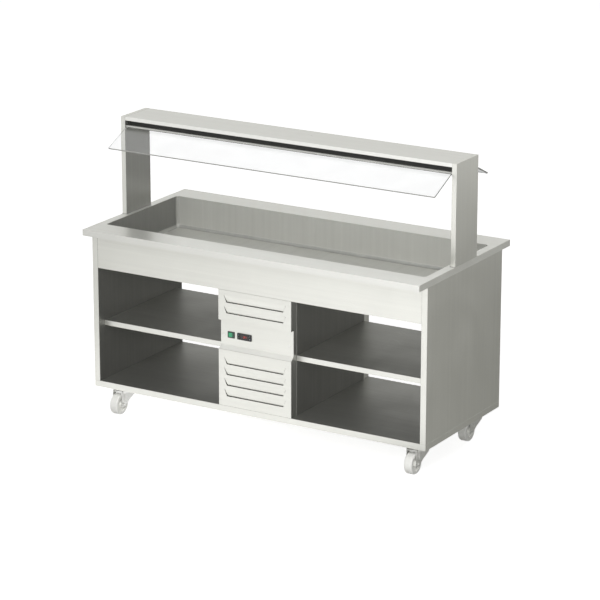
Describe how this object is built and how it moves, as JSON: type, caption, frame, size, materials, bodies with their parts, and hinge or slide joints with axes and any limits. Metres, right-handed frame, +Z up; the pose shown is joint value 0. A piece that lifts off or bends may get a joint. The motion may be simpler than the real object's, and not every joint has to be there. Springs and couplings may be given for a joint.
{
  "type": "mobile salad bar",
  "caption": "Refrigerated serving counter on swivel casters: deep well, gantry with lifting glass flaps, open shelf bays and a louvred machine bay.",
  "frame": {"origin": "on the floor under the middle of the cabinet", "axes": "+Z up, +X along the counter to the right as seen from the front, front faces -Y"},
  "size_m": [1.5, 0.73, 1.178],
  "materials": {
    "stainless": "fine brushed",
    "zinc_steel": "zinc plated",
    "nylon": "satin, pale",
    "foam": "rigid foam",
    "copper": "dull copper",
    "glass": "clear, polished edges",
    "diffuser": "milky",
    "black_plastic": "satin black",
    "red_lens": "dark red, clear",
    "green_plastic": "clear green",
    "black_enamel": "black enamel",
    "aluminium": "bare fins"
  },
  "bodies": {
    "cabinet": {"base_tray": "stainless", "caster_beams": "zinc_steel", "caster_plates": "zinc_steel", "caster_bolts": "zinc_steel", "side_panel_left": "stainless", "side_panel_right": "stainless", "partition_left": "stainless", "partition_right": "stainless", "shelf_left": "stainless", "shelf_right": "stainless", "apron_front": "stainless", "apron_rear": "stainless", "counter_top": "stainless", "well_tank": "stainless", "insulation": "foam", "well_casing": "stainless", "evaporator_coil": "copper", "drain_pipe": "stainless", "upright_left": "stainless", "upright_right": "stainless", "rail_bushes": "black_plastic", "canopy_shelf": "stainless", "lamp_housing": "stainless", "lamp_diffuser": "diffuser", "light_tube": "diffuser", "upper_cover": "stainless", "control_panel": "stainless", "lower_cover": "stainless", "rear_cover": "stainless", "switch_bezel": "black_plastic", "controller": "black_plastic", "controller_display": "red_lens", "unit_tray": "zinc_steel", "compressor": "black_enamel", "condenser": "aluminium", "fan_shroud": "zinc_steel", "fan_motor": "zinc_steel", "refrigerant_pipes": "copper"},
    "front_flap": {"guard_rail_front": "stainless", "glass_front": "glass"},
    "rear_flap": {"guard_rail_rear": "stainless", "glass_rear": "glass"},
    "switch": {"switch_rocker": "green_plastic"},
    "fan": {"fan_blades": "black_plastic"},
    "key_up": {"key_up": "black_plastic"},
    "key_down": {"key_down": "black_plastic"},
    "key_set": {"key_set": "black_plastic"},
    "key_power": {"key_power": "black_plastic"},
    "caster_front_left": {"fork_front_left": "zinc_steel", "axle_front_left": "zinc_steel"},
    "wheel_front_left": {"wheel_front_left": "nylon"},
    "caster_front_right": {"fork_front_right": "zinc_steel", "axle_front_right": "zinc_steel"},
    "wheel_front_right": {"wheel_front_right": "nylon"},
    "caster_rear_left": {"fork_rear_left": "zinc_steel", "axle_rear_left": "zinc_steel"},
    "wheel_rear_left": {"wheel_rear_left": "nylon"},
    "caster_rear_right": {"fork_rear_right": "zinc_steel", "axle_rear_right": "zinc_steel"},
    "wheel_rear_right": {"wheel_rear_right": "nylon"}
  },
  "joints": [
    {"name": "front_flap_lift", "type": "hinge", "parent": "cabinet", "child": "front_flap", "pos_m": [0, -0.078, 1.138], "axis": [-1, 0, 0], "range_deg": [0, 75]},
    {"name": "rear_flap_lift", "type": "hinge", "parent": "cabinet", "child": "rear_flap", "pos_m": [0, 0.078, 1.138], "axis": [1, 0, 0], "range_deg": [0, 75]},
    {"name": "switch_rock", "type": "hinge", "parent": "cabinet", "child": "switch", "pos_m": [-0.1167, -0.277, 0.4287], "axis": [0, 0, -1], "range_deg": [0, 16]},
    {"name": "fan_spin", "type": "hinge", "parent": "cabinet", "child": "fan", "pos_m": [-0.0235, -0.166, 0.2565], "axis": [0, 1, 0], "continuous": true},
    {"name": "key_up_press", "type": "slide", "parent": "cabinet", "child": "key_up", "axis": [0, 1, 0], "range_m": [0, 0.0004], "stiffness_N_per_m": 200},
    {"name": "key_down_press", "type": "slide", "parent": "cabinet", "child": "key_down", "axis": [0, 1, 0], "range_m": [0, 0.0004], "stiffness_N_per_m": 200},
    {"name": "key_set_press", "type": "slide", "parent": "cabinet", "child": "key_set", "axis": [0, 1, 0], "range_m": [0, 0.0004], "stiffness_N_per_m": 200},
    {"name": "key_power_press", "type": "slide", "parent": "cabinet", "child": "key_power", "axis": [0, 1, 0], "range_m": [0, 0.0004], "stiffness_N_per_m": 200},
    {"name": "swivel_front_left", "type": "hinge", "parent": "cabinet", "child": "caster_front_left", "pos_m": [-0.67, -0.217, 0.095], "axis": [0, 0, 1], "continuous": true},
    {"name": "roll_front_left", "type": "hinge", "parent": "caster_front_left", "child": "wheel_front_left", "pos_m": [-0.67, -0.252, 0.042], "axis": [1, 0, 0], "continuous": true},
    {"name": "swivel_front_right", "type": "hinge", "parent": "cabinet", "child": "caster_front_right", "pos_m": [0.67, -0.217, 0.095], "axis": [0, 0, 1], "continuous": true},
    {"name": "roll_front_right", "type": "hinge", "parent": "caster_front_right", "child": "wheel_front_right", "pos_m": [0.67, -0.252, 0.042], "axis": [1, 0, 0], "continuous": true},
    {"name": "swivel_rear_left", "type": "hinge", "parent": "cabinet", "child": "caster_rear_left", "pos_m": [-0.67, 0.217, 0.095], "axis": [0, 0, 1], "continuous": true},
    {"name": "roll_rear_left", "type": "hinge", "parent": "caster_rear_left", "child": "wheel_rear_left", "pos_m": [-0.67, 0.182, 0.042], "axis": [1, 0, 0], "continuous": true},
    {"name": "swivel_rear_right", "type": "hinge", "parent": "cabinet", "child": "caster_rear_right", "pos_m": [0.67, 0.217, 0.095], "axis": [0, 0, 1], "continuous": true},
    {"name": "roll_rear_right", "type": "hinge", "parent": "caster_rear_right", "child": "wheel_rear_right", "pos_m": [0.67, 0.182, 0.042], "axis": [1, 0, 0], "continuous": true}
  ]
}
